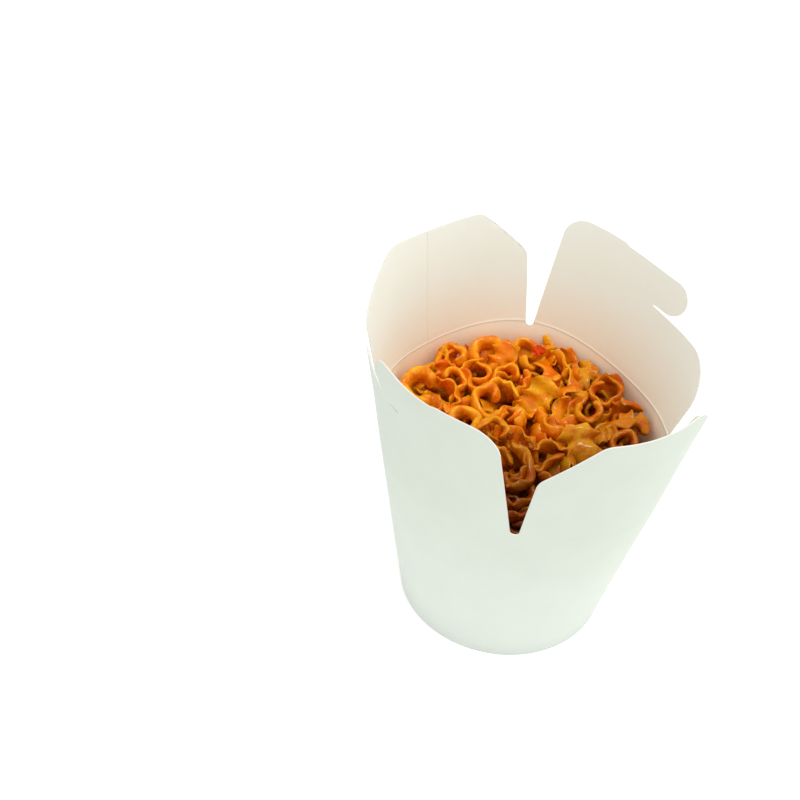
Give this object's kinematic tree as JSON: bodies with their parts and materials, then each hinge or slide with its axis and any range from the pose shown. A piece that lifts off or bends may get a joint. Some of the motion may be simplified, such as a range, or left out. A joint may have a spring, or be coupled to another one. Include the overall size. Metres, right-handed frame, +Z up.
{
  "type": "noodle takeaway box",
  "caption": "Open round-based folded board takeaway box with tall flaps standing up, filled with curled ribbon pasta in tomato sauce.",
  "frame": {"origin": "under the middle of the open box's outline, on the surface that it stands on", "axes": "+Z up, along the box's height; +Y away from the viewer of the picture; +X to the viewer's right"},
  "size_m": [0.133, 0.1462, 0.1487],
  "materials": {
    "white_board": "coated, satin",
    "grey_board": "matt",
    "tomato_pasta": "wet gloss of sauce"
  },
  "bodies": {
    "root": {"carton": "white_board", "base": "grey_board", "pasta": "tomato_pasta"}
  },
  "joints": []
}
